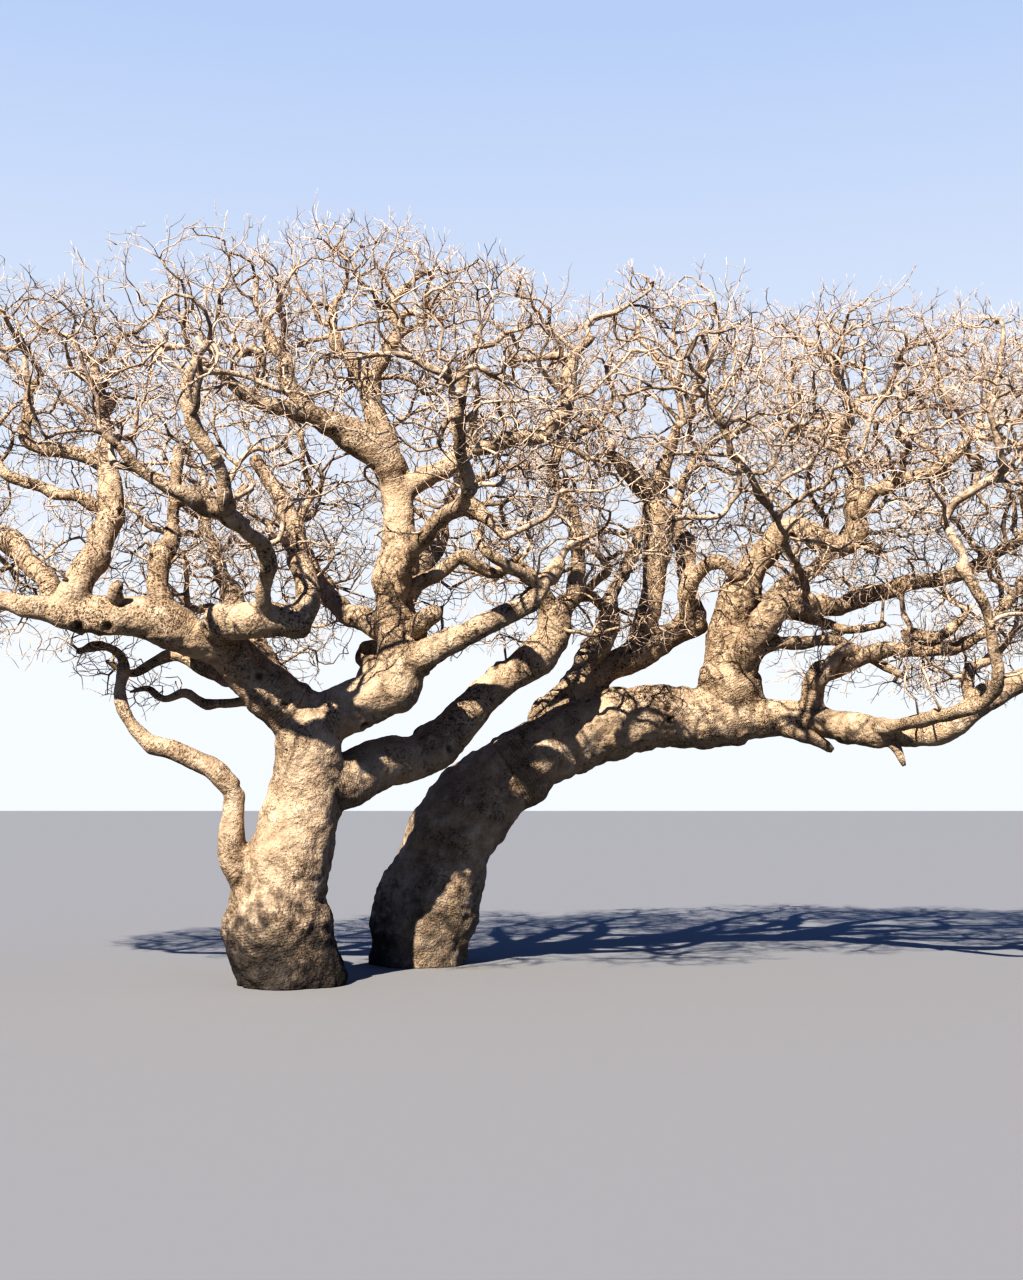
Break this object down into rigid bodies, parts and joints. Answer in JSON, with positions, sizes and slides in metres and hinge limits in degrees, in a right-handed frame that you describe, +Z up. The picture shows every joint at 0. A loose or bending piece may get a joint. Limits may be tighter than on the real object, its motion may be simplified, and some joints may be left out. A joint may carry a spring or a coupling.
{
  "type": "bare baobab tree",
  "caption": "Wide bare tree with two swollen trunks from one clump, thick bent boughs and a dense crown of fine twigs, standing on the ground.",
  "frame": {"origin": "middle of the left trunk's flat cut at ground level", "axes": "+Z up along the trunks, +X to the right as the picture shows the tree, +Y away from the viewer"},
  "size_m": [14.668, 9.8671, 8.1431],
  "materials": {
    "low_bark": "rough pitted grey-brown bark",
    "bark": "smooth folded tan-grey bark, matte",
    "twigs": "fine pale dry twigs, matte"
  },
  "bodies": {
    "root": {"arch_low_right": "bark", "arm_low": "bark", "back_far_right": "bark", "back_left": "bark", "back_middle": "bark", "back_right": "bark", "bough_centre_left": "bark", "bough_centre_top": "bark", "bough_far_right": "bark", "bough_knee": "bark", "bough_left": "bark", "bough_left_back": "bark", "bough_left_tip": "bark", "bough_low_right": "bark", "bough_right": "bark", "bough_side": "bark", "bough_snake": "bark", "bulge_front": "bark", "crook_far_right": "bark", "crown_back_far": "twigs", "crown_back_left": "twigs", "crown_back_middle": "twigs", "crown_back_right": "twigs", "crown_far_right": "twigs", "crown_front_far": "twigs", "crown_front_left": "twigs", "crown_front_middle": "twigs", "crown_front_right": "twigs", "crown_left_out": "twigs", "crown_left_top": "twigs", "crown_main_left": "twigs", "crown_main_right": "twigs", "crown_main_top": "twigs", "crown_right_inner": "twigs", "crown_right_low": "twigs", "crown_right_out": "twigs", "crown_right_top": "twigs", "fork_left": "bark", "fork_right": "bark", "front_far_right": "bark", "front_left": "bark", "front_middle": "bark", "front_right": "bark", "knee_right": "bark", "link_low": "bark", "link_rising": "bark", "main_right": "bark", "reach_right": "bark", "riser_centre": "bark", "riser_front": "bark", "riser_left": "bark", "riser_mid_left": "bark", "riser_right": "bark", "riser_right_back": "bark", "stem_low": "bark", "stem_thin": "bark", "tip_low": "bark", "tip_low_right": "bark", "trunk_left": "low_bark", "trunk_right": "low_bark"}
  },
  "joints": []
}
